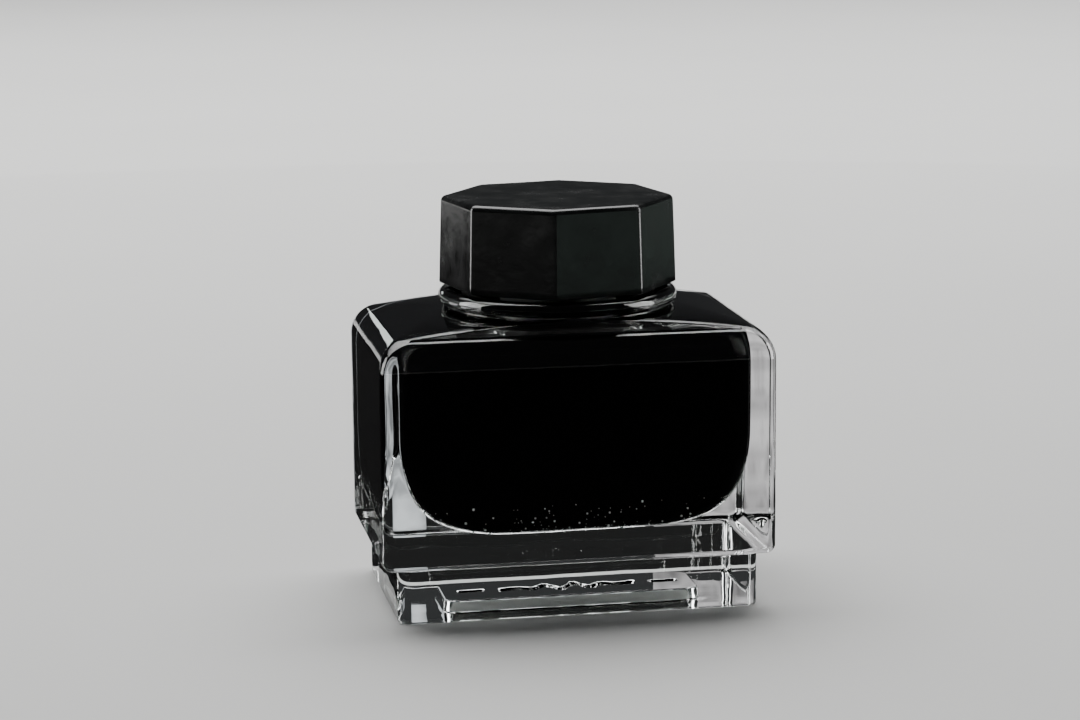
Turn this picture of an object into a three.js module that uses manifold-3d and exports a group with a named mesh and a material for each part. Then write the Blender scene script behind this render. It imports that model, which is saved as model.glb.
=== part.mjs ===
// A desk bottle of fountain-pen ink: a thick rectangular glass block on a smaller pedestal, with a round
// collar and a threaded neck, a filling well that hangs in the neck, and an octagonal screw cap.
// Millimetres, +Z up, +X along the bottle's long side, origin at the middle of the face it stands on.
import * as THREE from "three";
import { mergeVertices } from "three/addons/utils/BufferGeometryUtils.js";
import Module from "manifold-3d";

// Space left between separate pieces that touch on the real object.
const gap = 0.3;

// Pedestal: the smaller foot under the block, with a shallow pocket pressed up into its underside.
const pedestal = { halfX: 30.35, halfY: 19.05, corner: 2.2, height: 9.4, edge: 0.5 };
const pocket = { halfX: 21.8, halfY: 9.2, corner: 2.4, height: 2.0, draft: 0.5 };

// Block: the body of the bottle, with its rounded lower step and its rounded shoulder.
const block = { halfX: 32.9, halfY: 21.6, corner: 2.0, step: 1.4, shoulderStart: 42.2, shoulderRadius: 5.9 };

// Collar: the round glass bead that the cap stops above, and the low crown that rises to its waist.
const collar = { waist: 18.4, radius: 20.1, bead: 1.4, top: 52.6 };
const crown = { startInset: 3.0, startCorner: 1.9, fullness: 1.4, top: 49.6 };

// Neck and screw thread. The ridges of neck and cap run on one right-handed helix, half a pitch apart.
const neck = { radius: 13.5, bore: 11.0, rim: 61.8, lip: 0.6 };
const thread = { pitch: 3.6, turns: 1.25, fade: 0.12, stub: 0.02, buried: 0.3, stepsPerTurn: 36 };
const neckRidge = { tip: 14.6, rootWidth: 2.0, tipWidth: 0.9, startHeight: 55.6, startTurn: 0 };
const capRidge = { tip: 13.8, rootWidth: 1.6, tipWidth: 0.6, startHeight: 55.6, startTurn: 0.5 };

// Cavity: straight walls that sweep into a flat floor, and a full ceiling that narrows to the bore.
// The ends sweep in early and far, and the front and back only near the floor.
const cavity = { halfX: 29.4, halfY: 17.6, corner: 4.0, floor: 14.1, sweepTop: 33.0 };
const sweep = { narrowX: 14.4, narrowY: 4.0, powerX: 1.4, powerY: 3.0, footCorner: 5.0 };
const ceiling = { start: 40.5, boreStart: 47.0, fullness: 0.55 };

// Ink: it fills the cavity and stands in the bore around the well, up to just under the well's slots.
const inkLevel = 52.4;

// Filling well: a flanged cup that hangs from the rim and tapers to a narrow foot.
const well = { flange: 13.3, flangeThick: 0.8, wall: 1.0, plug: 10.6, barrel: 9.8, plugEnd: 57.4 };
const wellFoot = { radius: 5.6, coneTop: 50.0, bottom: 35.6 };
const wellSlot = { count: 4, width: 3.0, low: 52.8, high: 56.4 };

// Cap: an octagonal outer shell, a round threaded closure inside it, and a sealing disc.
const cap = { sides: 8, bottom: 53.0, top: 67.9, flatBottom: 18.48, flatTop: 18.02, wall: 1.35, roof: 1.4 };
const capEdge = { corner: 1.0, top: 1.0, mouth: 0.4 };
const capTurn = THREE.MathUtils.degToRad(-11.3);
const closure = { outer: 16.25, bore: 14.9, bottom: 53.4, roof: 1.2 };
const liner = { radius: 14.5, thick: 1.5, edge: 0.25 };

// How finely round shapes are cut into flats.
const roundFlats = 40;
const filletSteps = 4;
const sweepSteps = 8;

// Points closer together than this are one point.
const weldDistance = 1e-4;

const wasm = await Module();
wasm.setup();

// Points of a curve parameter from 0 to 1, both ends included.
function steps(count) {
  return Array.from({ length: count + 1 }, (_, i) => i / count);
}

// A rounded rectangle at one height. Equal half sizes and an equal corner radius make a circle.
function rectangle(halfX, halfY, corner, z) {
  const half = Math.PI / roundFlats;
  const reach = corner / Math.cos(half);
  return Array.from({ length: roundFlats }, (_, i) => {
    const angle = (2 * i + 1) * half;
    const x = Math.sign(Math.cos(angle)) * (halfX - corner) + reach * Math.cos(angle);
    const y = Math.sign(Math.sin(angle)) * (halfY - corner) + reach * Math.sin(angle);
    return new THREE.Vector3(x, y, z);
  });
}

function circle(radius, z) {
  return rectangle(radius, radius, radius, z);
}

// An octagon with rounded corners at one height, sized by the distance from its axis to its flats.
function octagon(flat, corner, z) {
  const halfSide = Math.PI / cap.sides;
  const points = [];
  for (let side = 0; side < cap.sides; side++) {
    const heading = capTurn - Math.PI / 2 + 2 * side * halfSide;
    const centre = (flat - corner) / Math.cos(halfSide);
    for (const swing of [-halfSide, 0, halfSide]) {
      const x = centre * Math.cos(heading) + corner * Math.cos(heading + swing);
      const y = centre * Math.sin(heading) + corner * Math.sin(heading + swing);
      points.push(new THREE.Vector3(x, y, z));
    }
  }
  return points;
}

function middle(ring) {
  const sum = new THREE.Vector3();
  ring.forEach((point) => sum.add(point));
  return sum.divideScalar(ring.length);
}

// A closed surface through a row of rings, with a fan of triangles over the first and the last ring.
function loft(rings) {
  const count = rings[0].length;
  const points = [...rings.flat(), middle(rings[0]), middle(rings.at(-1))];
  const first = points.length - 2;
  const last = points.length - 1;
  const faces = [];
  for (let i = 0; i < count; i++) {
    const next = (i + 1) % count;
    const end = (rings.length - 1) * count;
    faces.push(first, next, i);
    faces.push(last, end + i, end + next);
    for (let row = 0; row < end; row += count) {
      faces.push(row + i, row + next, row + count + next);
      faces.push(row + i, row + count + next, row + count + i);
    }
  }
  return new THREE.BufferGeometry().setFromPoints(points).setIndex(faces);
}

// A solid of revolution about Z from radius and height pairs.
function turned(profile) {
  const points = profile.map(([radius, z]) => new THREE.Vector2(radius, z));
  return new THREE.LatheGeometry(points, roundFlats).rotateX(Math.PI / 2);
}

function toSolid(geometry) {
  const bare = geometry.clone();
  bare.deleteAttribute("normal");
  bare.deleteAttribute("uv");
  const merged = mergeVertices(bare, weldDistance);
  const vertProperties = new Float32Array(merged.attributes.position.array);
  const triVerts = new Uint32Array(merged.index.array);
  return new wasm.Manifold(new wasm.Mesh({ numProp: 3, vertProperties, triVerts }));
}

function toGeometry(solid) {
  const mesh = solid.getMesh();
  const position = new THREE.BufferAttribute(mesh.vertProperties, 3);
  return new THREE.BufferGeometry()
    .setAttribute("position", position)
    .setIndex(new THREE.BufferAttribute(mesh.triVerts, 1));
}

// A thread ridge: a trapezoid swept up the helix, which fades into the wall at both ends.
function helixRidge(ridge, wallRadius) {
  const outward = Math.sign(ridge.tip - wallRadius);
  const count = Math.round(thread.turns * thread.stepsPerTurn);
  const rings = steps(count).map((along) => {
    const fromEnd = Math.min(along, 1 - along) + thread.stub;
    const fade = Math.min(1, fromEnd / thread.fade);
    const turn = ridge.startTurn + along * thread.turns;
    const z = ridge.startHeight + along * thread.turns * thread.pitch;
    const root = wallRadius - outward * thread.buried;
    const tip = wallRadius + (ridge.tip - wallRadius) * fade;
    const corners = [[root, ridge.rootWidth / 2], [tip, ridge.tipWidth / 2]];
    const section = [corners[0], corners[1], [tip, -ridge.tipWidth / 2], [root, -ridge.rootWidth / 2]];
    const ordered = outward > 0 ? section : [section[1], section[0], section[3], section[2]];
    const angle = 2 * Math.PI * turn;
    return ordered.map(([r, dz]) => new THREE.Vector3(r * Math.cos(angle), r * Math.sin(angle), z + dz));
  });
  return loft(rings);
}

function pocketRings() {
  const { halfX, halfY, corner, height, draft } = pocket;
  return [
    rectangle(halfX - draft, halfY - draft, corner, height),
    rectangle(halfX, halfY, corner + draft, 0),
  ];
}

function pedestalRings() {
  const { halfX, halfY, corner, height, edge } = pedestal;
  const foot = steps(2).map((t) => {
    const inset = edge * (1 - Math.sin((t * Math.PI) / 2));
    return rectangle(halfX - inset, halfY - inset, corner - inset, edge * (1 - Math.cos((t * Math.PI) / 2)));
  });
  return [...foot, rectangle(halfX, halfY, corner, height)];
}

function blockRings() {
  const { halfX, halfY, corner, step } = block;
  return steps(filletSteps).map((t) => {
    const inset = step * (1 - Math.sin((t * Math.PI) / 2));
    const z = pedestal.height + step * (1 - Math.cos((t * Math.PI) / 2));
    return rectangle(halfX - inset, halfY - inset, corner - inset, z);
  });
}

// The shoulder's quarter round, on all four sides, up to where the crown takes over.
function shoulderRings() {
  const { halfX, halfY, corner, shoulderStart, shoulderRadius } = block;
  const arc = Math.acos(1 - crown.startInset / shoulderRadius);
  return steps(filletSteps + 1).map((t) => {
    const inset = shoulderRadius * (1 - Math.cos(t * arc));
    const z = shoulderStart + shoulderRadius * Math.sin(t * arc);
    const round = THREE.MathUtils.lerp(corner, crown.startCorner, inset / crown.startInset);
    return rectangle(halfX - inset, halfY - inset, round, z);
  });
}

// The crown: a low dome from the shoulder's rectangle to the round waist under the collar.
function crownRings() {
  const { halfX, halfY } = block;
  const low = shoulderRings().at(-1)[0].z;
  return steps(sweepSteps).slice(1).map((t) => {
    const x = THREE.MathUtils.lerp(halfX - crown.startInset, collar.waist, t);
    const y = THREE.MathUtils.lerp(halfY - crown.startInset, collar.waist, t);
    const round = THREE.MathUtils.lerp(crown.startCorner, collar.waist, t);
    const rise = 1 - (1 - t) ** crown.fullness;
    return rectangle(x, y, round, THREE.MathUtils.lerp(low, crown.top, rise));
  });
}

function collarRings() {
  const { radius, bead, top } = collar;
  const centre = top - bead;
  return steps(2 * filletSteps).map((t) => {
    const angle = Math.PI * (t - 0.5);
    return circle(radius - bead + bead * Math.cos(angle), centre + bead * Math.sin(angle));
  });
}

function neckRings() {
  const { radius, bore, rim, lip } = neck;
  return [
    circle(radius + lip, collar.top),
    circle(radius, collar.top + lip),
    circle(radius, rim - lip),
    circle(radius - lip, rim),
    circle(bore + lip, rim),
    circle(bore, rim - lip),
  ];
}

// The cavity from the bore down to its floor, drawn in by an amount on every side.
function cavityRings(inset) {
  const { halfX, halfY, corner, floor, sweepTop } = cavity;
  const high = ceiling.boreStart - inset;
  const roof = steps(sweepSteps).map((t) => {
    const height = Math.abs(Math.cos((t * Math.PI) / 2)) ** ceiling.fullness;
    const spread = Math.sin((t * Math.PI) / 2) ** ceiling.fullness;
    const x = THREE.MathUtils.lerp(neck.bore, halfX, spread);
    const y = THREE.MathUtils.lerp(neck.bore, halfY, spread);
    const round = THREE.MathUtils.lerp(neck.bore, corner, spread);
    return rectangle(x - inset, y - inset, round - inset, THREE.MathUtils.lerp(ceiling.start, high, height));
  });
  const tub = steps(sweepSteps).map((t) => {
    const drop = Math.sin((t * Math.PI) / 2);
    const close = 1 - Math.cos((t * Math.PI) / 2);
    const x = halfX - sweep.narrowX * close ** sweep.powerX;
    const y = halfY - sweep.narrowY * close ** sweep.powerY;
    const round = THREE.MathUtils.lerp(corner, sweep.footCorner, close);
    return rectangle(x - inset, y - inset, round - inset, sweepTop - (sweepTop - floor - inset) * drop);
  });
  return [...roof, ...tub];
}

function glassBottle() {
  const rings = [
    ...pocketRings(),
    ...pedestalRings(),
    ...blockRings(),
    ...shoulderRings(),
    ...crownRings(),
    ...collarRings(),
    ...neckRings(),
    ...cavityRings(0),
  ];
  const ridge = toSolid(helixRidge(neckRidge, neck.radius));
  return toGeometry(toSolid(loft(rings)).add(ridge));
}

function wellInsert() {
  const under = neck.rim + gap;
  const outside = [
    [wellFoot.radius, wellFoot.bottom],
    [well.barrel, wellFoot.coneTop],
    [well.barrel, well.plugEnd - gap],
    [well.plug, well.plugEnd],
    [well.plug, under],
    [well.flange, under],
    [well.flange, under + well.flangeThick],
  ];
  const inside = [
    [well.plug - well.wall, under + well.flangeThick],
    [well.barrel - well.wall, well.plugEnd - gap],
    [well.barrel - well.wall, wellFoot.coneTop],
    [wellFoot.radius - well.wall, wellFoot.bottom + well.wall],
    [0, wellFoot.bottom + well.wall],
  ];
  const cup = toSolid(turned([[0, wellFoot.bottom], ...outside, ...inside]));
  const { count, width, low, high } = wellSlot;
  return toGeometry(steps(count).slice(1).reduce((solid, t) => {
    const cutter = new THREE.BoxGeometry(2 * well.wall, width, high - low)
      .translate(well.barrel - well.wall / 2, 0, (low + high) / 2)
      .rotateZ(2 * Math.PI * t);
    return solid.subtract(toSolid(cutter));
  }, cup));
}

// The ink: the cavity's shape and a column in the bore, with the filling well standing in it.
function inkBody() {
  return loft([
    ...cavityRings(gap).reverse(),
    circle(neck.bore - gap, inkLevel),
    circle(well.barrel + gap, inkLevel),
    circle(well.barrel + gap, wellFoot.coneTop),
    circle(wellFoot.radius + 2 * gap, wellFoot.bottom - gap),
  ]);
}

function capShell() {
  const { bottom, top, flatBottom, flatTop, wall, roof } = cap;
  const flatAt = (z) => THREE.MathUtils.mapLinear(z, bottom, top, flatBottom, flatTop);
  const ceilingHeight = top - roof;
  const inner = [
    octagon(flatAt(ceilingHeight) - wall, capEdge.corner, ceilingHeight),
    octagon(flatAt(bottom) - wall, capEdge.corner, bottom + capEdge.mouth),
    octagon(flatAt(bottom) - wall + capEdge.mouth, capEdge.corner, bottom),
  ];
  const outer = [
    octagon(flatAt(bottom) - capEdge.mouth, capEdge.corner, bottom),
    octagon(flatAt(bottom), capEdge.corner, bottom + capEdge.mouth),
  ];
  const rounded = steps(filletSteps - 1).map((t) => {
    const inset = capEdge.top * (1 - Math.cos((t * Math.PI) / 2));
    const z = top - capEdge.top * (1 - Math.sin((t * Math.PI) / 2));
    return octagon(flatAt(z) - inset, capEdge.corner, z);
  });
  return loft([...inner, ...outer, ...rounded]);
}

function capClosure() {
  const ceilingHeight = cap.top - cap.roof - gap;
  const rings = [
    circle(closure.bore, ceilingHeight - closure.roof),
    circle(closure.bore, closure.bottom + capEdge.mouth),
    circle(closure.bore + capEdge.mouth, closure.bottom),
    circle(closure.outer, closure.bottom),
    circle(closure.outer, ceilingHeight - capEdge.mouth),
    circle(closure.outer - capEdge.mouth, ceilingHeight),
  ];
  const ridge = toSolid(helixRidge(capRidge, closure.bore));
  return toGeometry(toSolid(loft(rings)).add(ridge));
}

function sealingDisc() {
  const high = cap.top - cap.roof - gap - closure.roof - gap;
  const { radius, thick, edge } = liner;
  return turned([
    [0, high - thick],
    [radius - edge, high - thick],
    [radius, high - thick + edge],
    [radius, high - edge],
    [radius - edge, high],
    [0, high],
  ]);
}

function clearGlass() {
  return new THREE.MeshStandardMaterial({
    color: 0xdfe8e4, roughness: 0.03, metalness: 0, transparent: true, opacity: 0.35,
  });
}

function blackInk() {
  return new THREE.MeshStandardMaterial({ color: 0x050507, roughness: 0.08, metalness: 0 });
}

function glossyBlackPlastic() {
  return new THREE.MeshStandardMaterial({ color: 0x0c0d0d, roughness: 0.18, metalness: 0 });
}

function mattBlackPlastic() {
  return new THREE.MeshStandardMaterial({ color: 0x161616, roughness: 0.5, metalness: 0 });
}

function milkyPlastic() {
  return new THREE.MeshStandardMaterial({ color: 0xd9dcd8, roughness: 0.4, metalness: 0 });
}

function whiteFoam() {
  return new THREE.MeshStandardMaterial({ color: 0xe6e4dc, roughness: 0.8, metalness: 0 });
}

function piece(name, geometry, material) {
  const mesh = new THREE.Mesh(geometry, material);
  mesh.name = name;
  return mesh;
}

function bottleGroup() {
  const group = new THREE.Group();
  group.add(piece("glass_bottle", glassBottle(), clearGlass()));
  group.add(piece("ink", inkBody(), blackInk()));
  group.add(piece("inkwell_insert", wellInsert(), milkyPlastic()));
  return group;
}

function capGroup() {
  const group = new THREE.Group();
  group.add(piece("cap_shell", capShell(), glossyBlackPlastic()));
  group.add(piece("cap_inner", capClosure(), mattBlackPlastic()));
  group.add(piece("cap_liner", sealingDisc(), whiteFoam()));
  return group;
}

const inkBottle = new THREE.Group();
inkBottle.add(bottleGroup());
inkBottle.add(capGroup());
export default inkBottle;
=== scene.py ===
"""A glass desk bottle of black ink with an octagonal screw cap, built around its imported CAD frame."""
import math

import bpy
import numpy as np
from mathutils import Matrix, Vector


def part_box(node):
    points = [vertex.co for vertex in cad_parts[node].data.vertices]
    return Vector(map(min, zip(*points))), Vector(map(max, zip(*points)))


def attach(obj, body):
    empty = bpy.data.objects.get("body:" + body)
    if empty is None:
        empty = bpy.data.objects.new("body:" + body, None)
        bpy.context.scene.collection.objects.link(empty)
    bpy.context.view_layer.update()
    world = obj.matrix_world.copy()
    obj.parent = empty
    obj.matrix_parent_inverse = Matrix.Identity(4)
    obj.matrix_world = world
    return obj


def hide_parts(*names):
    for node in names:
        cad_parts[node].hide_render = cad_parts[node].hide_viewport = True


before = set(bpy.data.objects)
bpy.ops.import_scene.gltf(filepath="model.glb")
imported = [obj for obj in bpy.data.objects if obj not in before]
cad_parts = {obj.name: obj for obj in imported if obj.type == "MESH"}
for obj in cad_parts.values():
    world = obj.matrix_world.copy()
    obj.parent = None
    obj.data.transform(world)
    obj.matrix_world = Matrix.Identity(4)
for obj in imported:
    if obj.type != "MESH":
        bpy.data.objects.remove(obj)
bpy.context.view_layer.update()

MM = 0.001
TAU = 2 * math.pi


# ---------------------------------------------------------------- sizes, in millimetres

def node_mm(name):
    """Lowest and highest corner of a CAD node, in millimetres."""
    low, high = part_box(name)
    return np.array(low) / MM, np.array(high) / MM


GLASS_HIGH = node_mm("glass_bottle")[1]
SHELL_LOW, SHELL_HIGH = node_mm("cap_shell")
CLOSURE_LOW, CLOSURE_HIGH = node_mm("cap_inner")
LINER_LOW, LINER_HIGH = node_mm("cap_liner")
WELL_LOW, WELL_HIGH = node_mm("inkwell_insert")

BLOCK_X, BLOCK_Y = GLASS_HIGH[0], GLASS_HIGH[1]
BLOCK_CORNER = 2.0
STEP_RADIUS = 1.4
SHOULDER_START = 42.2
SHOULDER_RADIUS = 5.9

PEDESTAL_INSET = 2.55
PEDESTAL_X, PEDESTAL_Y = BLOCK_X - PEDESTAL_INSET, BLOCK_Y - PEDESTAL_INSET
PEDESTAL_CORNER = 2.2
PEDESTAL_TOP = 9.4
PEDESTAL_EDGE = 0.5

POCKET_X, POCKET_Y, POCKET_CORNER = 21.8, 9.2, 2.4
POCKET_HEIGHT, POCKET_DRAFT, POCKET_EDGE = 2.0, 0.5, 0.35
POCKET_CEILING_ROWS = 72

CROWN_INSET, CROWN_CORNER, CROWN_FULLNESS, CROWN_TOP = 3.0, 1.9, 1.4, 49.6
WAIST, COLLAR_RADIUS, COLLAR_BEAD, COLLAR_TOP = 18.4, 20.1, 1.4, 52.6

NECK_RADIUS, NECK_BORE, NECK_LIP = 13.5, 11.0, 0.6
NECK_RIM = GLASS_HIGH[2]
THREAD_PITCH, THREAD_TURNS, THREAD_FADE = 3.6, 1.25, 0.1
THREAD_START = 55.6
NECK_THREAD_TIP, CAP_THREAD_TIP = 14.6, 13.8
NECK_THREAD_ROOT, NECK_THREAD_CREST = 2.0, 0.9
CAP_THREAD_ROOT, CAP_THREAD_CREST = 1.6, 0.6

CAVITY_X, CAVITY_Y, CAVITY_CORNER = 29.4, 17.6, 4.0
CAVITY_FLOOR, SWEEP_TOP, FOOT_CORNER = 14.1, 33.0, 5.0
NARROW_X, NARROW_Y, POWER_X, POWER_Y = 14.4, 4.0, 1.4, 3.0
CEILING_START, CEILING_TOP, CEILING_FULLNESS = 40.5, 47.0, 0.55
CAVITY_CEILING_ROWS, CAVITY_SWEEP_ROWS = 29, 46

WELL_BARREL, WELL_PLUG, WELL_FOOT, WELL_WALL = 9.8, 10.6, 5.6, 1.0
WELL_TAPER_TOP, WELL_BARREL_TOP = 50.0, 57.0
SLOT_LOW, SLOT_HIGH, SLOT_WIDTH = 52.8, 56.4, 3.0
INK_LEVEL = 52.4
INK_CLEARANCE = 0.03
WET_BORE_ROWS = 6

CAP_TURN = math.radians(-11.3)
CAP_FLAT_BOTTOM, CAP_FLAT_TOP = 18.48, 18.02
CAP_WALL, CAP_ROOF = 1.35, 1.4

AROUND = 256

GLASS_INDEX, INK_INDEX = 1.52, 1.39


# ---------------------------------------------------------------- lofting

def ramp(count, first=0.0):
    """Values from first to 1, both included."""
    return np.linspace(first, 1.0, count)


def mix(a, b, t):
    return a + (b - a) * t


def outline(half_x, half_y, corner, count=AROUND):
    """Points spaced evenly along a rounded rectangle, anticlockwise from +X. Equal sizes make a circle."""
    side_x, side_y = half_x - corner, half_y - corner
    bend = corner * math.pi / 2
    along = np.linspace(0, side_y + bend + side_x, count // 4 + 1)
    angle = np.clip((along - side_y) / max(corner, 1e-6), 0, math.pi / 2)
    x = side_x + corner * np.cos(angle) - np.clip(along - side_y - bend, 0, None)
    y = np.minimum(along, side_y) + corner * np.sin(angle)
    first = np.stack([x, y], 1)
    back = first[:0:-1]
    return np.concatenate([first[:-1], back * [-1, 1], -first[:-1], back * [1, -1]])


def ring(half_x, half_y, corner, z):
    flat = outline(half_x, half_y, corner)
    return np.column_stack([flat, np.full(len(flat), z)])


def circle(radius, z):
    return ring(radius, radius, radius, z)


def octagon(flat, corner, z, per_corner=9, per_side=12):
    """An octagon with rounded corners, sized by the distance from its axis to its flats."""
    half_side = math.pi / 8
    centre = (flat - corner) / math.cos(half_side)
    points = []
    for side in range(8):
        heading = CAP_TURN - math.pi / 2 + 2 * side * half_side
        middle = centre * np.array([math.cos(heading), math.sin(heading)])
        swing = heading + np.linspace(-half_side, half_side, per_corner)
        arc = middle + corner * np.column_stack([np.cos(swing), np.sin(swing)])
        points.append(arc)
        following = heading + 2 * half_side
        ahead = centre * np.array([math.cos(following), math.sin(following)])
        ahead = ahead + corner * np.array([math.cos(swing[-1]), math.sin(swing[-1])])
        share = np.linspace(0, 1, per_side + 2)[1:-1, None]
        points.append(arc[-1] + (ahead - arc[-1]) * share)
    flat_points = np.concatenate(points)
    return np.column_stack([flat_points, np.full(len(flat_points), z)])


def grid_normals(rings):
    """Outward unit normals of a lofted grid of points, rings x points x 3."""
    around = np.roll(rings, -1, 1) - np.roll(rings, 1, 1)
    along = np.gradient(rings, axis=0)
    normals = np.cross(around, along)
    return normals / np.maximum(np.linalg.norm(normals, axis=2, keepdims=True), 1e-9)


def loft_faces(rows, count):
    i = np.arange(count)
    following = (i + 1) % count
    faces = []
    for row in range(rows - 1):
        low, high = row * count, (row + 1) * count
        faces += np.column_stack([low + i, low + following, high + following, high + i]).tolist()
    first, last = rows * count, rows * count + 1
    end = (rows - 1) * count
    faces += [(first, int(b), int(a)) for a, b in zip(i, following)]
    faces += [(last, int(end + a), int(end + b)) for a, b in zip(i, following)]
    return faces


def loft(name, rings):
    """A closed mesh object through a stack of rings, fanned shut at both ends, in millimetres."""
    rings = np.asarray(rings)
    rows, count = rings.shape[:2]
    points = np.concatenate([rings.reshape(-1, 3), rings[0].mean(0)[None], rings[-1].mean(0)[None]])
    return mesh_object(name, points, loft_faces(rows, count))


def mesh_object(name, points_mm, faces, smooth=True):
    mesh = bpy.data.meshes.new(name)
    mesh.from_pydata((np.asarray(points_mm) * MM).tolist(), [], faces)
    mesh.polygons.foreach_set("use_smooth", [smooth] * len(mesh.polygons))
    mesh.update()
    obj = bpy.data.objects.new(name, mesh)
    bpy.context.scene.collection.objects.link(obj)
    return obj


def waves(points, seed, longest, octaves=3):
    """Smooth, seeded undulation at each point, about -1 to 1, from crossed sines."""
    random = np.random.default_rng(seed)
    total = np.zeros(points.shape[:-1])
    weight = 0.0
    for octave in range(octaves):
        length = longest / 1.7 ** octave
        for _ in range(4):
            direction = random.normal(size=3)
            direction *= TAU / length / np.linalg.norm(direction)
            total += 0.6 ** octave * np.sin(points @ direction + random.uniform(0, TAU))
            weight += 0.6 ** octave * 0.5
    return total / weight


# ---------------------------------------------------------------- the bottle's outlines

def pocket_rings():
    """The pocket under the base, from the middle of its ceiling out to its mouth."""
    x, y = POCKET_X - POCKET_DRAFT, POCKET_Y - POCKET_DRAFT
    ceiling = [ring(x * s, y * s, POCKET_CORNER * s, POCKET_HEIGHT) for s in ramp(POCKET_CEILING_ROWS, 0.01)]
    rounding = []
    for t in ramp(6)[1:]:
        turn = t * math.pi / 2
        grow = POCKET_EDGE * math.sin(turn)
        drop = POCKET_EDGE * (1 - math.cos(turn))
        rounding.append(ring(x + grow, y + grow, POCKET_CORNER + grow, POCKET_HEIGHT - drop))
    mouth = []
    for t in ramp(6):
        turn = t * math.pi / 2
        grow = POCKET_DRAFT + POCKET_EDGE * (1 - math.cos(turn))
        mouth.append(ring(x + grow, y + grow, POCKET_CORNER + grow, POCKET_EDGE * (1 - math.sin(turn))))
    return ceiling + rounding + mouth


def pedestal_rings():
    rim = [ring(
        mix(POCKET_X + 2 * POCKET_EDGE, PEDESTAL_X - PEDESTAL_EDGE, t),
        mix(POCKET_Y + 2 * POCKET_EDGE, PEDESTAL_Y - PEDESTAL_EDGE, t),
        PEDESTAL_CORNER - PEDESTAL_EDGE, 0,
    ) for t in ramp(4, 0.1)]
    foot = []
    for t in ramp(8)[1:]:
        inset = PEDESTAL_EDGE * (1 - math.sin(t * math.pi / 2))
        z = PEDESTAL_EDGE * (1 - math.cos(t * math.pi / 2))
        foot.append(ring(PEDESTAL_X - inset, PEDESTAL_Y - inset, PEDESTAL_CORNER - inset, z))
    wall = [ring(PEDESTAL_X, PEDESTAL_Y, PEDESTAL_CORNER, z)
            for z in np.linspace(PEDESTAL_EDGE + 0.3, PEDESTAL_TOP - 0.7, 12)]
    return rim + foot + wall


def block_rings():
    """From the small hollow above the pedestal, over the rounded step, up to the shoulder."""
    hollow = []
    for t in ramp(6):
        grow = 0.6 * (1 - math.cos(t * math.pi / 2))
        z = PEDESTAL_TOP - 0.6 + 0.6 * math.sin(t * math.pi / 2)
        hollow.append(ring(PEDESTAL_X + grow, PEDESTAL_Y + grow, PEDESTAL_CORNER + grow, z))
    step = []
    for t in ramp(10):
        inset = STEP_RADIUS * (1 - math.sin(t * math.pi / 2))
        z = PEDESTAL_TOP + STEP_RADIUS * (1 - math.cos(t * math.pi / 2))
        step.append(ring(BLOCK_X - inset, BLOCK_Y - inset, BLOCK_CORNER - inset, z))
    low, high = PEDESTAL_TOP + STEP_RADIUS, SHOULDER_START
    wall = [ring(BLOCK_X, BLOCK_Y, BLOCK_CORNER, z) for z in np.linspace(low, high, 34)[1:]]
    return hollow + step + wall


def shoulder_rings():
    sweep = math.acos(1 - CROWN_INSET / SHOULDER_RADIUS)
    rings = []
    for t in ramp(14)[1:]:
        inset = SHOULDER_RADIUS * (1 - math.cos(t * sweep))
        z = SHOULDER_START + SHOULDER_RADIUS * math.sin(t * sweep)
        corner = mix(BLOCK_CORNER, CROWN_CORNER, inset / CROWN_INSET)
        rings.append(ring(BLOCK_X - inset, BLOCK_Y - inset, corner, z))
    low = SHOULDER_START + SHOULDER_RADIUS * math.sin(sweep)
    for t in ramp(26)[1:]:
        rise = 1 - (1 - t) ** CROWN_FULLNESS
        rings.append(ring(
            mix(BLOCK_X - CROWN_INSET, WAIST, t),
            mix(BLOCK_Y - CROWN_INSET, WAIST, t),
            mix(CROWN_CORNER, WAIST, t),
            mix(low, CROWN_TOP, rise),
        ))
    return rings


def collar_rings():
    centre = COLLAR_TOP - COLLAR_BEAD
    rings = []
    for t in ramp(20):
        angle = math.pi * (t - 0.5)
        radius = COLLAR_RADIUS - COLLAR_BEAD + COLLAR_BEAD * math.cos(angle)
        rings.append(circle(radius, centre + COLLAR_BEAD * math.sin(angle)))
    return rings


def neck_rings():
    rings = [circle(r, COLLAR_TOP) for r in (17.5, 16.0, NECK_RADIUS + 1.2)]
    for t in ramp(6):
        r = NECK_RADIUS + NECK_LIP * (1 - math.sin(t * math.pi / 2))
        rings.append(circle(r, COLLAR_TOP + NECK_LIP * (1 - math.cos(t * math.pi / 2))))
    rings += [circle(NECK_RADIUS, z) for z in np.linspace(COLLAR_TOP + 0.7, NECK_RIM - 0.7, 60)]
    for t in ramp(8):
        r = NECK_RADIUS - NECK_LIP * (1 - math.cos(t * math.pi / 2))
        rings.append(circle(r, NECK_RIM - NECK_LIP * (1 - math.sin(t * math.pi / 2))))
    for t in ramp(8):
        r = NECK_BORE + NECK_LIP * (1 - math.sin(t * math.pi / 2))
        rings.append(circle(r, NECK_RIM - NECK_LIP * (1 - math.cos(t * math.pi / 2))))
    rings += [circle(NECK_BORE, z) for z in np.linspace(NECK_RIM - 1.5, INK_LEVEL + 1, 8)]
    rings += [circle(NECK_BORE, z) for z in np.linspace(INK_LEVEL, CEILING_TOP + 0.2, WET_BORE_ROWS)]
    return rings


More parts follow.
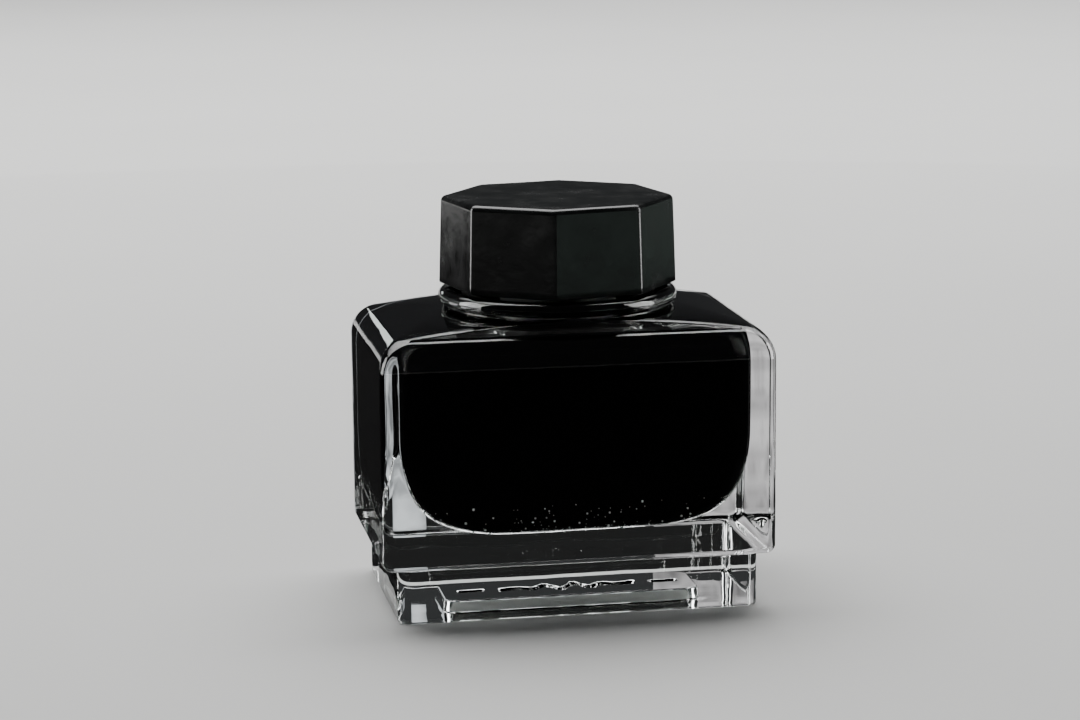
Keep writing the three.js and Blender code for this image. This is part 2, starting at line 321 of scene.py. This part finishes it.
def cavity_rings():
    """The cavity from under the bore down to its floor."""
    rings = []
    for t in ramp(CAVITY_CEILING_ROWS + 1)[1:]:
        spread = math.sin(t * math.pi / 2) ** CEILING_FULLNESS
        height = abs(math.cos(t * math.pi / 2)) ** CEILING_FULLNESS
        rings.append(ring(
            mix(NECK_BORE, CAVITY_X, spread),
            mix(NECK_BORE, CAVITY_Y, spread),
            mix(NECK_BORE, CAVITY_CORNER, spread),
            mix(CEILING_START, CEILING_TOP, height),
        ))
    for t in ramp(CAVITY_SWEEP_ROWS):
        drop, close = math.sin(t * math.pi / 2), 1 - math.cos(t * math.pi / 2)
        x = CAVITY_X - NARROW_X * close ** POWER_X
        y = CAVITY_Y - NARROW_Y * close ** POWER_Y
        corner = mix(CAVITY_CORNER, FOOT_CORNER, close)
        rings.append(ring(x, y, corner, SWEEP_TOP - (SWEEP_TOP - CAVITY_FLOOR) * drop))
    floor = rings[-1]
    rings += [floor * [s, s, 1] for s in (0.8, 0.55, 0.3, 0.1, 0.02)]
    return rings


def cavity_wall(clearance=0.0):
    """The cavity's uneven surface, moved into the cavity by the clearance."""
    rings = np.array(cavity_rings())
    return rings + grid_normals(rings) * (cavity_wobble(rings) + clearance)[..., None]


def ease(x):
    x = np.clip(x, 0, 1)
    return x * x * (3 - 2 * x)


def thread_height(rings, first_turn, root_width, crest_width, height):
    """How far the thread ridge stands from the wall at each point of a grid."""
    angle = np.arctan2(rings[..., 1], rings[..., 0]) / TAU
    tallest = np.zeros(rings.shape[:2])
    for lap in range(4):
        along = (angle + lap - first_turn) / THREAD_TURNS
        centre = THREAD_START + along * THREAD_TURNS * THREAD_PITCH
        away = np.abs(rings[..., 2] - centre)
        flank = (root_width / 2 - away) / (root_width - crest_width) * 2
        ends = ease(np.minimum(along, 1 - along) / THREAD_FADE)
        tallest = np.maximum(tallest, ease(flank) * ends * (along > 0) * (along < 1))
    return height * tallest


def push_radially(rings, amount):
    radius = np.linalg.norm(rings[..., :2], axis=2)
    moved = rings.copy()
    moved[..., :2] *= ((radius + amount) / radius)[..., None]
    return moved


def cavity_wobble(rings):
    """How far the inside of the glass, a little uneven low down, stands from its plain shape."""
    depth, level_above, fade = 0.16, 40, 20
    low = ease((level_above - rings[..., 2]) / fade)
    return depth * low * waves(rings, 5, 26.0)


def relief(points):
    """A generic raised mark pressed into the pocket: one wavy line between short bars, no lettering."""
    height, flank, line_end = 0.7, 0.7, 1.2
    swing, wavelength, swell = 2.6, 5.0, 19.0
    line_reach, bar_reach, bar_middle = 12.0, 2.4, 16.5
    x, y = points[..., 0], points[..., 1]
    line = swing * np.sin(x * TAU / wavelength) * (0.55 + 0.45 * np.cos(x * TAU / swell))
    wave = ease(1.7 - np.abs(y - line)) * ease((line_reach - np.abs(x)) / line_end)
    bars = ease(1.7 - np.abs(y) / flank) * ease((bar_reach - np.abs(np.abs(x) - bar_middle)) / flank)
    return height * np.maximum(wave, bars)


# ---------------------------------------------------------------- pieces

def bottle_glass():
    """The glass. Its second material is the part of its inside that the ink wets."""
    pocket = np.array(pocket_rings())
    ceiling = pocket[:POCKET_CEILING_ROWS]
    ceiling[..., 2] -= relief(ceiling)
    outside = np.array(pedestal_rings() + block_rings() + shoulder_rings() + collar_rings())
    ripple = 0.03 * waves(outside, 3, 22.0) - 0.04
    outside = outside + grid_normals(outside) * ripple[..., None]
    outside[..., 2] = np.maximum(outside[..., 2], 0)
    neck = np.array(neck_rings())
    outer_wall = np.abs(np.linalg.norm(neck[..., :2], axis=2) - NECK_RADIUS) < 1e-3
    ridge = thread_height(neck, 0.0, NECK_THREAD_ROOT, NECK_THREAD_CREST, NECK_THREAD_TIP - NECK_RADIUS)
    neck = push_radially(neck, ridge * outer_wall)
    above = np.concatenate([pocket, outside, neck])
    rings = np.concatenate([above, cavity_wall()])
    obj = loft("bottle_glass", rings)
    set_slots(obj, len(above) - WET_BORE_ROWS, len(rings), 1)
    return obj


def set_slots(obj, first_row, last_row, slot):
    """Give a material slot to the faces between two rows of a loft, and to the end cap past the last row."""
    slots = np.zeros(len(obj.data.polygons), dtype=np.int32)
    slots[first_row * AROUND:(last_row - 1) * AROUND] = slot
    rows = (len(obj.data.vertices) - 2) // AROUND
    if last_row == rows:
        slots[-AROUND:] = slot
    obj.data.polygons.foreach_set("material_index", slots)


def bottle_ink():
    """The ink fills the cavity and the bore around the well. Its second material is its free surface."""
    body = cavity_wall(INK_CLEARANCE)[::-1]
    bore = NECK_BORE - INK_CLEARANCE
    column = [circle(bore, z) for z in np.linspace(CEILING_TOP - INK_CLEARANCE, INK_LEVEL, 10)]
    beside_well = WELL_BARREL + 0.2
    foot_radius, foot_z = WELL_FOOT + 0.3, WELL_LOW[2] - 0.4
    edge = 0.15
    surface = [circle(r, INK_LEVEL) for r in (bore - edge, beside_well + edge)]
    hole = [circle(beside_well, z) for z in (INK_LEVEL, WELL_TAPER_TOP + 1, WELL_TAPER_TOP)]
    for t in ramp(8)[-2::-1]:
        hole.append(circle(mix(foot_radius, beside_well, t), mix(foot_z, WELL_TAPER_TOP, t)))
    rings = np.concatenate([body, np.array(column + surface + hole)])
    obj = loft("bottle_ink", rings)
    top = len(body) + len(column) - 1
    set_slots(obj, top, top + len(surface) + 2, 1)
    return obj


def cap_outer():
    """The octagonal cap, open below, with a slight sink on its facets."""
    def flat_at(z):
        return mix(CAP_FLAT_BOTTOM, CAP_FLAT_TOP, (z - SHELL_LOW[2]) / (SHELL_HIGH[2] - SHELL_LOW[2]))

    low, high, mouth, corner, edge = SHELL_LOW[2], SHELL_HIGH[2], 0.35, 0.95, 0.95
    roof = high - CAP_ROOF
    under = octagon(flat_at(roof) - CAP_WALL, corner, roof)
    rings = [under * [s, s, 1] for s in (0.02, 0.2, 0.45, 0.7, 0.9, 1.0)]
    rings += [octagon(flat_at(z) - CAP_WALL, corner, z) for z in np.linspace(roof - 0.3, low + mouth, 10)]
    for t in ramp(12)[1:-1]:
        turn = t * math.pi
        grow = mix(-CAP_WALL, 0, (1 - math.cos(turn)) / 2)
        rings.append(octagon(flat_at(low) + grow, corner, low + mouth * (1 - math.sin(turn))))
    rings += [octagon(flat_at(z), corner, z) for z in np.linspace(low + mouth, high - edge - 0.15, 16)]
    for t in ramp(12):
        inset = edge * (1 - math.cos(t * math.pi / 2))
        z = high - edge * (1 - math.sin(t * math.pi / 2))
        rings.append(octagon(flat_at(z) - inset, corner, z))
    top = rings[-1]
    rings += [top * [s, s, 1] for s in (0.97, 0.85, 0.7, 0.5, 0.3, 0.1, 0.02)]
    rings = np.array(rings)
    sink = 0.02 * waves(rings, 11, 18.0) - 0.025
    return loft("cap_outer", rings + grid_normals(rings) * sink[..., None])


def cap_closure():
    """The round threaded closure inside the cap, knurled to grip it."""
    bore, outer, roof_thickness = 14.9, CLOSURE_HIGH[0], 1.2
    low, high, edge, plain_rim = CLOSURE_LOW[2], CLOSURE_HIGH[2], 0.4, 0.5
    knurls, knurl_depth = 64, 0.12
    roof = high - roof_thickness
    rings = [circle(bore * s, roof) for s in (0.02, 0.3, 0.6, 0.9, 1.0)]
    rings += [circle(bore, z) for z in np.linspace(roof - 0.15, low + edge, 70)]
    for t in ramp(8)[1:]:
        rings.append(circle(bore + edge * math.sin(t * math.pi / 2), low + edge * math.cos(t * math.pi / 2)))
    rings += [circle(outer, z) for z in np.linspace(low, high - edge, 12)]
    for t in ramp(8)[1:]:
        turn = t * math.pi / 2
        rings.append(circle(outer - edge * (1 - math.cos(turn)), high - edge * (1 - math.sin(turn))))
    rings += [circle(outer * s, high) for s in (0.8, 0.5, 0.2, 0.02)]
    rings = np.array(rings)
    radius = np.linalg.norm(rings[..., :2], axis=2)
    on_bore = np.abs(radius - bore) < 1e-3
    ridge = thread_height(rings, 0.5, CAP_THREAD_ROOT, CAP_THREAD_CREST, bore - CAP_THREAD_TIP)
    rings = push_radially(rings, -ridge * on_bore)
    angle = np.arctan2(rings[..., 1], rings[..., 0])
    on_side = (np.abs(radius - outer) < 1e-3) & (rings[..., 2] > low + plain_rim)
    knurl = knurl_depth * (1 + np.cos(knurls * angle)) / 2
    return loft("cap_closure", push_radially(rings, -knurl * on_side))


def cap_seal():
    """The sealing disc, with the ring that the glass rim has pressed into it."""
    radius, low, high, edge = LINER_HIGH[0], LINER_LOW[2], LINER_HIGH[2], 0.3
    dent, dent_start, dent_end, dent_flank = 0.18, 10.4, 13.9, 0.6
    rings = [circle(r, low) for r in (0.3, 4, 8, 9.8)]
    for r in np.linspace(dent_start, dent_end, 20):
        press = ease((r - dent_start) / dent_flank) * ease((dent_end - r) / dent_flank)
        rings.append(circle(r, low + dent * press))
    for t in ramp(8):
        turn = t * math.pi / 2
        rings.append(circle(radius - edge * (1 - math.sin(turn)), low + edge * (1 - math.cos(turn))))
    for t in ramp(8):
        turn = t * math.pi / 2
        rings.append(circle(radius - edge * (1 - math.cos(turn)), high - edge * (1 - math.sin(turn))))
    rings += [circle(r, high) for r in (13, 9, 5, 0.3)]
    return loft("cap_seal", rings)


def filling_well():
    """A flanged cup of milky plastic with four slots, through which ink runs in when the bottle is tipped."""
    under, top, foot = NECK_RIM + 0.3, WELL_HIGH[2], WELL_LOW[2]
    flange, inner = WELL_HIGH[0], WELL_BARREL - WELL_WALL
    mouth = WELL_PLUG - WELL_WALL
    edge = 0.15
    outside = [(0.3, foot), (WELL_FOOT - 0.6, foot), (WELL_FOOT - edge, foot + edge), (WELL_FOOT, foot + 0.5)]
    for t in ramp(24)[1:]:
        outside.append((mix(WELL_FOOT, WELL_BARREL, t), mix(foot + 0.5, WELL_TAPER_TOP, t)))
    outside += [(WELL_BARREL, z) for z in np.linspace(WELL_TAPER_TOP + 0.4, WELL_BARREL_TOP, 16)]
    outside += [(WELL_PLUG, z) for z in (WELL_BARREL_TOP + 0.4, WELL_BARREL_TOP + 0.6, 61.5, under - 0.1)]
    outside += [(WELL_PLUG + 0.1, under), (flange - edge, under), (flange, under + edge)]
    inside = [(flange, top - edge), (flange - edge, top), (mouth + 0.4, top)]
    inside += [(mouth + 0.1, top - edge), (mouth, top - 0.5)]
    inside += [(inner, z) for z in np.linspace(WELL_BARREL_TOP, WELL_TAPER_TOP + 0.4, 16)]
    for t in ramp(24):
        inside.append((mix(inner, WELL_FOOT - WELL_WALL, t), mix(WELL_TAPER_TOP, foot + 1.3, t)))
    inside += [(4.2, foot + 1.05), (3.6, foot + WELL_WALL), (0.3, foot + WELL_WALL)]
    obj = loft("filling_well", [circle(r, z) for r, z in outside + inside])
    cutter = slot_cutter()
    modifier = obj.modifiers.new("slots", "BOOLEAN")
    modifier.operation = "DIFFERENCE"
    modifier.solver = "EXACT"
    modifier.object = cutter
    apply_modifiers(obj)
    bpy.data.objects.remove(cutter)
    return obj


def slot_cutter():
    """Four rounded prisms that cut the well's slots."""
    half_width, inner_reach, outer_reach = SLOT_WIDTH / 2, 8.0, 11.2
    points, faces = [], []
    for side in range(4):
        heading = side * math.pi / 2
        out = np.array([math.cos(heading), math.sin(heading), 0])
        across = np.array([-math.sin(heading), math.cos(heading), 0])
        rim = []
        for end, start in ((SLOT_HIGH - half_width, 0), (SLOT_LOW + half_width, math.pi)):
            for angle in np.linspace(start, start + math.pi, 13):
                rim.append((half_width * math.cos(angle), end + half_width * math.sin(angle)))
        base = len(points)
        for reach in (inner_reach, outer_reach):
            points += [out * reach + across * u + np.array([0, 0, z]) for u, z in rim]
        count = len(rim)
        for i in range(count):
            following = (i + 1) % count
            faces.append((base + i, base + following, base + count + following, base + count + i))
        faces.append(tuple(base + count + i for i in range(count)))
        faces.append(tuple(base + i for i in reversed(range(count))))
    return mesh_object("slot_cutter", points, faces)


def apply_modifiers(obj):
    bpy.context.view_layer.update()
    graph = bpy.context.evaluated_depsgraph_get()
    made = bpy.data.meshes.new_from_object(obj.evaluated_get(graph))
    obj.modifiers.clear()
    old = obj.data
    obj.data = made
    bpy.data.meshes.remove(old)


def ink_bubbles():
    """Tiny bubbles that cling to the glass along the ink's lower edge."""
    random = np.random.default_rng(21)
    count, smallest, spread = 420, 0.06, 0.16
    lower_edge = CAVITY_CEILING_ROWS + np.arange(24, 45)
    skin = cavity_wall()
    points, faces = [], []
    ball, ball_faces = small_ball()
    for _ in range(count):
        row = random.choice(lower_edge)
        spot = skin[row, random.integers(AROUND)]
        size = smallest + spread * random.random() ** 3
        base = len(points)
        points += list(ball * size + spot)
        faces += [tuple(base + k for k in f) for f in ball_faces]
    return mesh_object("ink_bubbles", points, faces)


def small_ball(rows=5, count=8):
    """Points and faces of a small round bubble of radius 1."""
    points = [(0, 0, -1)]
    for latitude in np.linspace(-math.pi / 2, math.pi / 2, rows + 2)[1:-1]:
        radius, z = math.cos(latitude), math.sin(latitude)
        for turn in np.arange(count) * TAU / count:
            points.append((radius * math.cos(turn), radius * math.sin(turn), z))
    points.append((0, 0, 1))
    last = len(points) - 1
    faces = []
    for i in range(count):
        j = (i + 1) % count
        faces.append((0, 1 + j, 1 + i))
        faces.append((last, last - count + i, last - count + j))
        for row in range(rows - 1):
            a = 1 + row * count
            faces.append((a + i, a + j, a + count + j, a + count + i))
    return np.array(points), faces


# ---------------------------------------------------------------- materials

class Nodes:
    """A short way to build a procedural material around one Principled shader."""

    def __init__(self, name):
        self.material = bpy.data.materials.new(name)
        self.material.use_nodes = True
        self.tree = self.material.node_tree
        self.shader = self.tree.nodes["Principled BSDF"]
        self.place = self.add("ShaderNodeTexCoord").outputs["Object"]

    def add(self, kind, **values):
        node = self.tree.nodes.new(kind)
        for key, value in values.items():
            if hasattr(node, key):
                setattr(node, key, value)
            else:
                node.inputs[key.replace("_", " ")].default_value = value
        return node

    def link(self, a, b):
        self.tree.links.new(a, b)

    def set(self, **values):
        for key, value in values.items():
            self.shader.inputs[key.replace("_", " ")].default_value = value

    def noise(self, scale, detail=3.0, rough=0.5):
        node = self.add("ShaderNodeTexNoise", Scale=scale, Detail=detail, Roughness=rough)
        self.link(self.place, node.inputs["Vector"])
        return node.outputs["Fac"]

    def spread(self, fac, low, high, start=0.3, end=0.7):
        node = self.add("ShaderNodeMapRange")
        node.inputs["From Min"].default_value = start
        node.inputs["From Max"].default_value = end
        node.inputs["To Min"].default_value = low
        node.inputs["To Max"].default_value = high
        self.link(fac, node.inputs["Value"])
        return node.outputs["Result"]

    def blend(self, fac, first, second):
        node = self.add("ShaderNodeMix", data_type="RGBA")
        node.inputs[6].default_value = first
        node.inputs[7].default_value = second
        self.link(fac, node.inputs[0])
        return node.outputs[2]

    def bump(self, height, distance, strength=1.0, before=None):
        node = self.add("ShaderNodeBump", Strength=strength, Distance=distance)
        self.link(height, node.inputs["Height"])
        if before is not None:
            self.link(before, node.inputs["Normal"])
        return node.outputs["Normal"]


def glass_material():
    """Clear thick glass with a faint cool tint, soft swells and slight smudges."""
    m = Nodes("clear_glass")
    m.set(Base_Color=(0.955, 0.985, 0.972, 1), Transmission_Weight=1.0, IOR=GLASS_INDEX, Roughness=0.0)
    smudge = m.spread(m.noise(90, 4, 0.6), 0.0, 0.035, 0.45, 0.75)
    m.link(smudge, m.shader.inputs["Roughness"])
    swell = m.bump(m.noise(140, 2, 0.4), 0.00004)
    m.link(swell, m.shader.inputs["Normal"])
    return m.material


def wet_glass_material():
    """Glass against ink bends light far less than glass against air: its index is the ratio of the two."""
    m = Nodes("wetted_glass")
    m.set(Base_Color=(0.97, 0.985, 0.98, 1), Transmission_Weight=1.0, Roughness=0.0)
    m.set(IOR=GLASS_INDEX / INK_INDEX)
    m.link(m.bump(m.noise(140, 2, 0.4), 0.00002), m.shader.inputs["Normal"])
    return m.material


def ink_material():
    """Ink behind wetted glass: its own shine is already the glass's."""
    m = Nodes("black_ink")
    m.set(Base_Color=(0.0008, 0.0008, 0.001, 1), Roughness=0.5, Specular_IOR_Level=0.0)
    tone = m.blend(m.noise(60), (0.0006, 0.0006, 0.0009, 1), (0.0012, 0.0011, 0.0016, 1))
    m.link(tone, m.shader.inputs["Base Color"])
    return m.material


def ink_surface_material():
    """The ink's free surface, smooth and shiny."""
    m = Nodes("black_ink_surface")
    m.set(Base_Color=(0.0015, 0.0015, 0.002, 1), Roughness=0.03, IOR=1.34)
    tone = m.blend(m.noise(60), (0.0012, 0.0012, 0.0018, 1), (0.0025, 0.0024, 0.0034, 1))
    m.link(tone, m.shader.inputs["Base Color"])
    m.link(m.bump(m.noise(60, 1), 0.00003), m.shader.inputs["Normal"])
    return m.material


def bubble_material():
    m = Nodes("ink_bubble")
    m.set(Base_Color=(0.8, 0.84, 0.84, 1), Roughness=0.15, Specular_IOR_Level=0.8)
    tone = m.blend(m.noise(2500), (0.5, 0.54, 0.55, 1), (0.92, 0.95, 0.94, 1))
    m.link(tone, m.shader.inputs["Base Color"])
    return m.material


def cap_material():
    m = Nodes("black_gloss_plastic")
    m.set(Base_Color=(0.003, 0.0033, 0.0033, 1), Roughness=0.14, IOR=1.5)
    tone = m.blend(m.noise(70, 4), (0.0022, 0.0026, 0.0026, 1), (0.005, 0.006, 0.0056, 1))
    m.link(tone, m.shader.inputs["Base Color"])
    haze = m.spread(m.noise(160, 5, 0.65), 0.1, 0.3)
    m.link(haze, m.shader.inputs["Roughness"])
    orange = m.bump(m.noise(420, 3), 0.00003)
    m.link(orange, m.shader.inputs["Normal"])
    return m.material


def closure_material():
    m = Nodes("black_matte_plastic")
    m.set(Base_Color=(0.012, 0.012, 0.012, 1), Roughness=0.5, IOR=1.49)
    tone = m.blend(m.noise(150, 4), (0.009, 0.009, 0.009, 1), (0.02, 0.02, 0.02, 1))
    m.link(tone, m.shader.inputs["Base Color"])
    m.link(m.spread(m.noise(300, 3), 0.38, 0.58), m.shader.inputs["Roughness"])
    m.link(m.bump(m.noise(2200, 2), 0.00002), m.shader.inputs["Normal"])
    return m.material


def milky_material():
    m = Nodes("milky_plastic")
    m.set(Base_Color=(0.78, 0.8, 0.78, 1), Roughness=0.35, IOR=1.49, Transmission_Weight=0.35)
    tone = m.blend(m.noise(120, 3), (0.7, 0.73, 0.71, 1), (0.84, 0.86, 0.84, 1))
    m.link(tone, m.shader.inputs["Base Color"])
    m.link(m.spread(m.noise(400, 3), 0.28, 0.45), m.shader.inputs["Roughness"])
    m.link(m.bump(m.noise(900, 2), 0.00002), m.shader.inputs["Normal"])
    return m.material


def foam_material():
    m = Nodes("liner_foam")
    m.set(Base_Color=(0.78, 0.76, 0.7, 1), Roughness=0.75)
    tone = m.blend(m.noise(260, 4), (0.7, 0.68, 0.61, 1), (0.84, 0.82, 0.77, 1))
    m.link(tone, m.shader.inputs["Base Color"])
    m.link(m.spread(m.noise(500, 3), 0.6, 0.85), m.shader.inputs["Roughness"])
    m.link(m.bump(m.noise(3200, 2), 0.00006), m.shader.inputs["Normal"])
    return m.material


def floor_material():
    m = Nodes("pale_floor")
    m.set(Base_Color=(0.6, 0.6, 0.59, 1), Roughness=0.6)
    tone = m.blend(m.noise(6, 4), (0.58, 0.58, 0.57, 1), (0.63, 0.63, 0.62, 1))
    m.link(tone, m.shader.inputs["Base Color"])
    m.link(m.bump(m.noise(900, 2), 0.00002), m.shader.inputs["Normal"])
    return m.material


# ---------------------------------------------------------------- stage, camera, light

def add_camera():
    """The view from a little left of the front and slightly above."""
    azimuth, elevation, roll = map(math.radians, (-10.05, 10.71, -0.52))
    distance, target = 0.5166, Vector((-0.00309, 0, 0.03976))
    data = bpy.data.cameras.new("camera")
    data.sensor_width = 36
    data.lens = 101.9
    camera = bpy.data.objects.new("camera", data)
    back = Vector((math.sin(azimuth) * math.cos(elevation), -math.cos(azimuth) * math.cos(elevation),
                   math.sin(elevation)))
    facing = back.to_track_quat("Z", "Y").to_matrix().to_4x4()
    place = Matrix.Translation(target + back * distance)
    camera.matrix_world = place @ facing @ Matrix.Rotation(roll, 4, "Z")
    bpy.context.scene.collection.objects.link(camera)
    bpy.context.scene.camera = camera


def add_floor():
    """A plain pale floor, a hair below the bottle's foot."""
    size, drop = 12.0, 0.00002
    floor = mesh_object("floor", np.array([(-1, -1, 0), (1, -1, 0), (1, 1, 0), (-1, 1, 0)]) * size / MM,
                        [(0, 1, 2, 3)], smooth=False)
    floor.location.z = -drop
    floor.data.materials.append(floor_material())


def reflected_only(obj):
    """Show a card or flag of the studio only in the object's reflections and through its glass."""
    obj.visible_camera = False
    obj.visible_diffuse = False
    obj.visible_shadow = False


def add_dark_reflection_flag():
    """A black flag on the floor round the pedestal, a painted dark reflection: the camera never sees it and
    it casts no shadow, but it keeps the pale floor out of the glass and the ink.
    """
    gap, reach, height, count = 2.0, 600, 0.3, 64
    hole = outline(PEDESTAL_X + gap, PEDESTAL_Y + gap, PEDESTAL_CORNER + gap, count)
    points = np.concatenate([hole, outline(reach, reach, reach, count)])
    points = np.column_stack([points, np.full(len(points), height)])
    i = np.arange(count)
    following = (i + 1) % count
    faces = np.column_stack([i, count + i, count + following, following]).tolist()
    flag = mesh_object("flag", points, faces, smooth=False)
    # Painted dark reflection: a black sheet shown only in reflections and through the glass, in place of the
    # pale floor.
    m = Nodes("painted_dark_reflection_flag")
    m.set(Base_Color=(0.01, 0.01, 0.01, 1), Roughness=1.0, Specular_IOR_Level=0.0)
    flag.data.materials.append(m.material)
    reflected_only(flag)


def glow_material(name, radiance, colour):
    m = Nodes(name)
    m.set(Base_Color=(0, 0, 0, 1), Specular_IOR_Level=0.0)
    m.set(Emission_Color=(*colour, 1), Emission_Strength=radiance)
    return m


def patchy_glow_material(name, radiance, colour):
    """A glow in soft patches."""
    m = glow_material(name, radiance, colour)
    dim = tuple(0.25 * channel for channel in colour)
    patches = m.spread(m.noise(130, 2), 0.0, 1.0, 0.35, 0.65)
    m.link(m.blend(patches, (*dim, 1), (*colour, 1)), m.shader.inputs["Emission Color"])
    return m


def add_card(name, centre, across, height, look):
    """An upright glowing card. Across reaches from its middle to one of its sides."""
    up = np.array([0, 0, height / 2])
    corners = [np.array(centre) + a * across + b * up for a, b in ((-1, -1), (1, -1), (1, 1), (-1, 1))]
    card = mesh_object(name, np.array(corners) / MM, [(0, 1, 2, 3)], smooth=False)
    card.data.materials.append(look.material)
    reflected_only(card)


def add_facing_card(name, centre, width, height, radiance, colour=(1, 1, 1)):
    """An even card that faces the bottle's axis."""
    x, y, _ = centre
    across = np.array([-y, x, 0]) / math.hypot(x, y) * width / 2
    add_card(name, centre, across, height, glow_material(name, radiance, colour))


def add_back_card(name, centre, width, height, radiance, colour):
    """A patchy card close behind the bottle and parallel to its back, seen through a clear side wall."""
    across = np.array([-width / 2, 0, 0])
    add_card(name, centre, across, height, patchy_glow_material(name, radiance, colour))


def add_softbox(name, place, aim, width, height, power, spread):
    data = bpy.data.lights.new(name, "AREA")
    data.shape = "RECTANGLE"
    data.size, data.size_y = width, height
    data.energy = power
    data.spread = math.radians(spread)
    light = bpy.data.objects.new(name, data)
    light.visible_camera = False
    light.location = place
    light.rotation_euler = (Vector(aim) - Vector(place)).to_track_quat("-Z", "Y").to_euler()
    bpy.context.scene.collection.objects.link(light)


def around(azimuth, distance, height):
    """A place around the bottle. Azimuth 0 is in front of it and 90 is to its right, in degrees."""
    turn = math.radians(azimuth)
    return (distance * math.sin(turn), -distance * math.cos(turn), height)


def add_light():
    """A large soft light over the floor behind the bottle, and cards for its edges, walls and facets."""
    add_softbox("overhead", (0.0, 0.9, 1.4), (0, 0.75, 0), 2.6, 1.6, 42.0, 110)
    add_facing_card("left_strip", around(-102, 0.38, 0.17), 0.2, 0.33, 9.0)
    add_facing_card("right_strip", around(78, 0.38, 0.17), 0.2, 0.33, 9.0)
    add_back_card("left_back_card", (-0.0275, 0.033, 0.0255), 0.014, 0.037, 1.0, (0.93, 0.96, 1))
    add_back_card("right_back_card", (0.0295, 0.033, 0.025), 0.018, 0.038, 0.85, (1, 0.96, 0.98))
    add_facing_card("window_card", (-0.051, 0.12, 0.071), 0.02, 0.013, 3.0, (0.93, 1, 0.97))
    add_facing_card("haze_card", around(33, 0.36, 0.05), 0.16, 0.09, 0.42, (0.8, 1, 0.9))
    add_facing_card("right_haze_card", around(122, 0.36, 0.05), 0.16, 0.09, 0.2, (0.8, 1, 0.9))
    add_world()


def add_world():
    """A faint even light from all round."""
    world = bpy.data.worlds.new("studio")
    world.use_nodes = True
    background = world.node_tree.nodes["Background"]
    background.inputs["Color"].default_value = (0.62, 0.64, 0.66, 1)
    background.inputs["Strength"].default_value = 0.06
    bpy.context.scene.world = world


# ---------------------------------------------------------------- assembly

def install(obj, body, slot, materials, *nodes):
    for material in materials:
        obj.data.materials.append(material)
    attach(obj, body)
    if nodes:
        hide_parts(*nodes)


add_camera()
add_floor()
add_dark_reflection_flag()
add_light()
install(bottle_glass(), "bottle", "clear_glass", [glass_material(), wet_glass_material()],
        "glass_bottle")
install(bottle_ink(), "bottle", "black_ink", [ink_material(), ink_surface_material()], "ink")
install(ink_bubbles(), "bottle", "clear_glass", [bubble_material()])
install(filling_well(), "bottle", "milky_plastic", [milky_material()], "inkwell_insert")
install(cap_outer(), "cap", "black_gloss_plastic", [cap_material()], "cap_shell")
install(cap_closure(), "cap", "black_matte_plastic", [closure_material()], "cap_inner")
install(cap_seal(), "seal", "liner_foam", [foam_material()], "cap_liner")
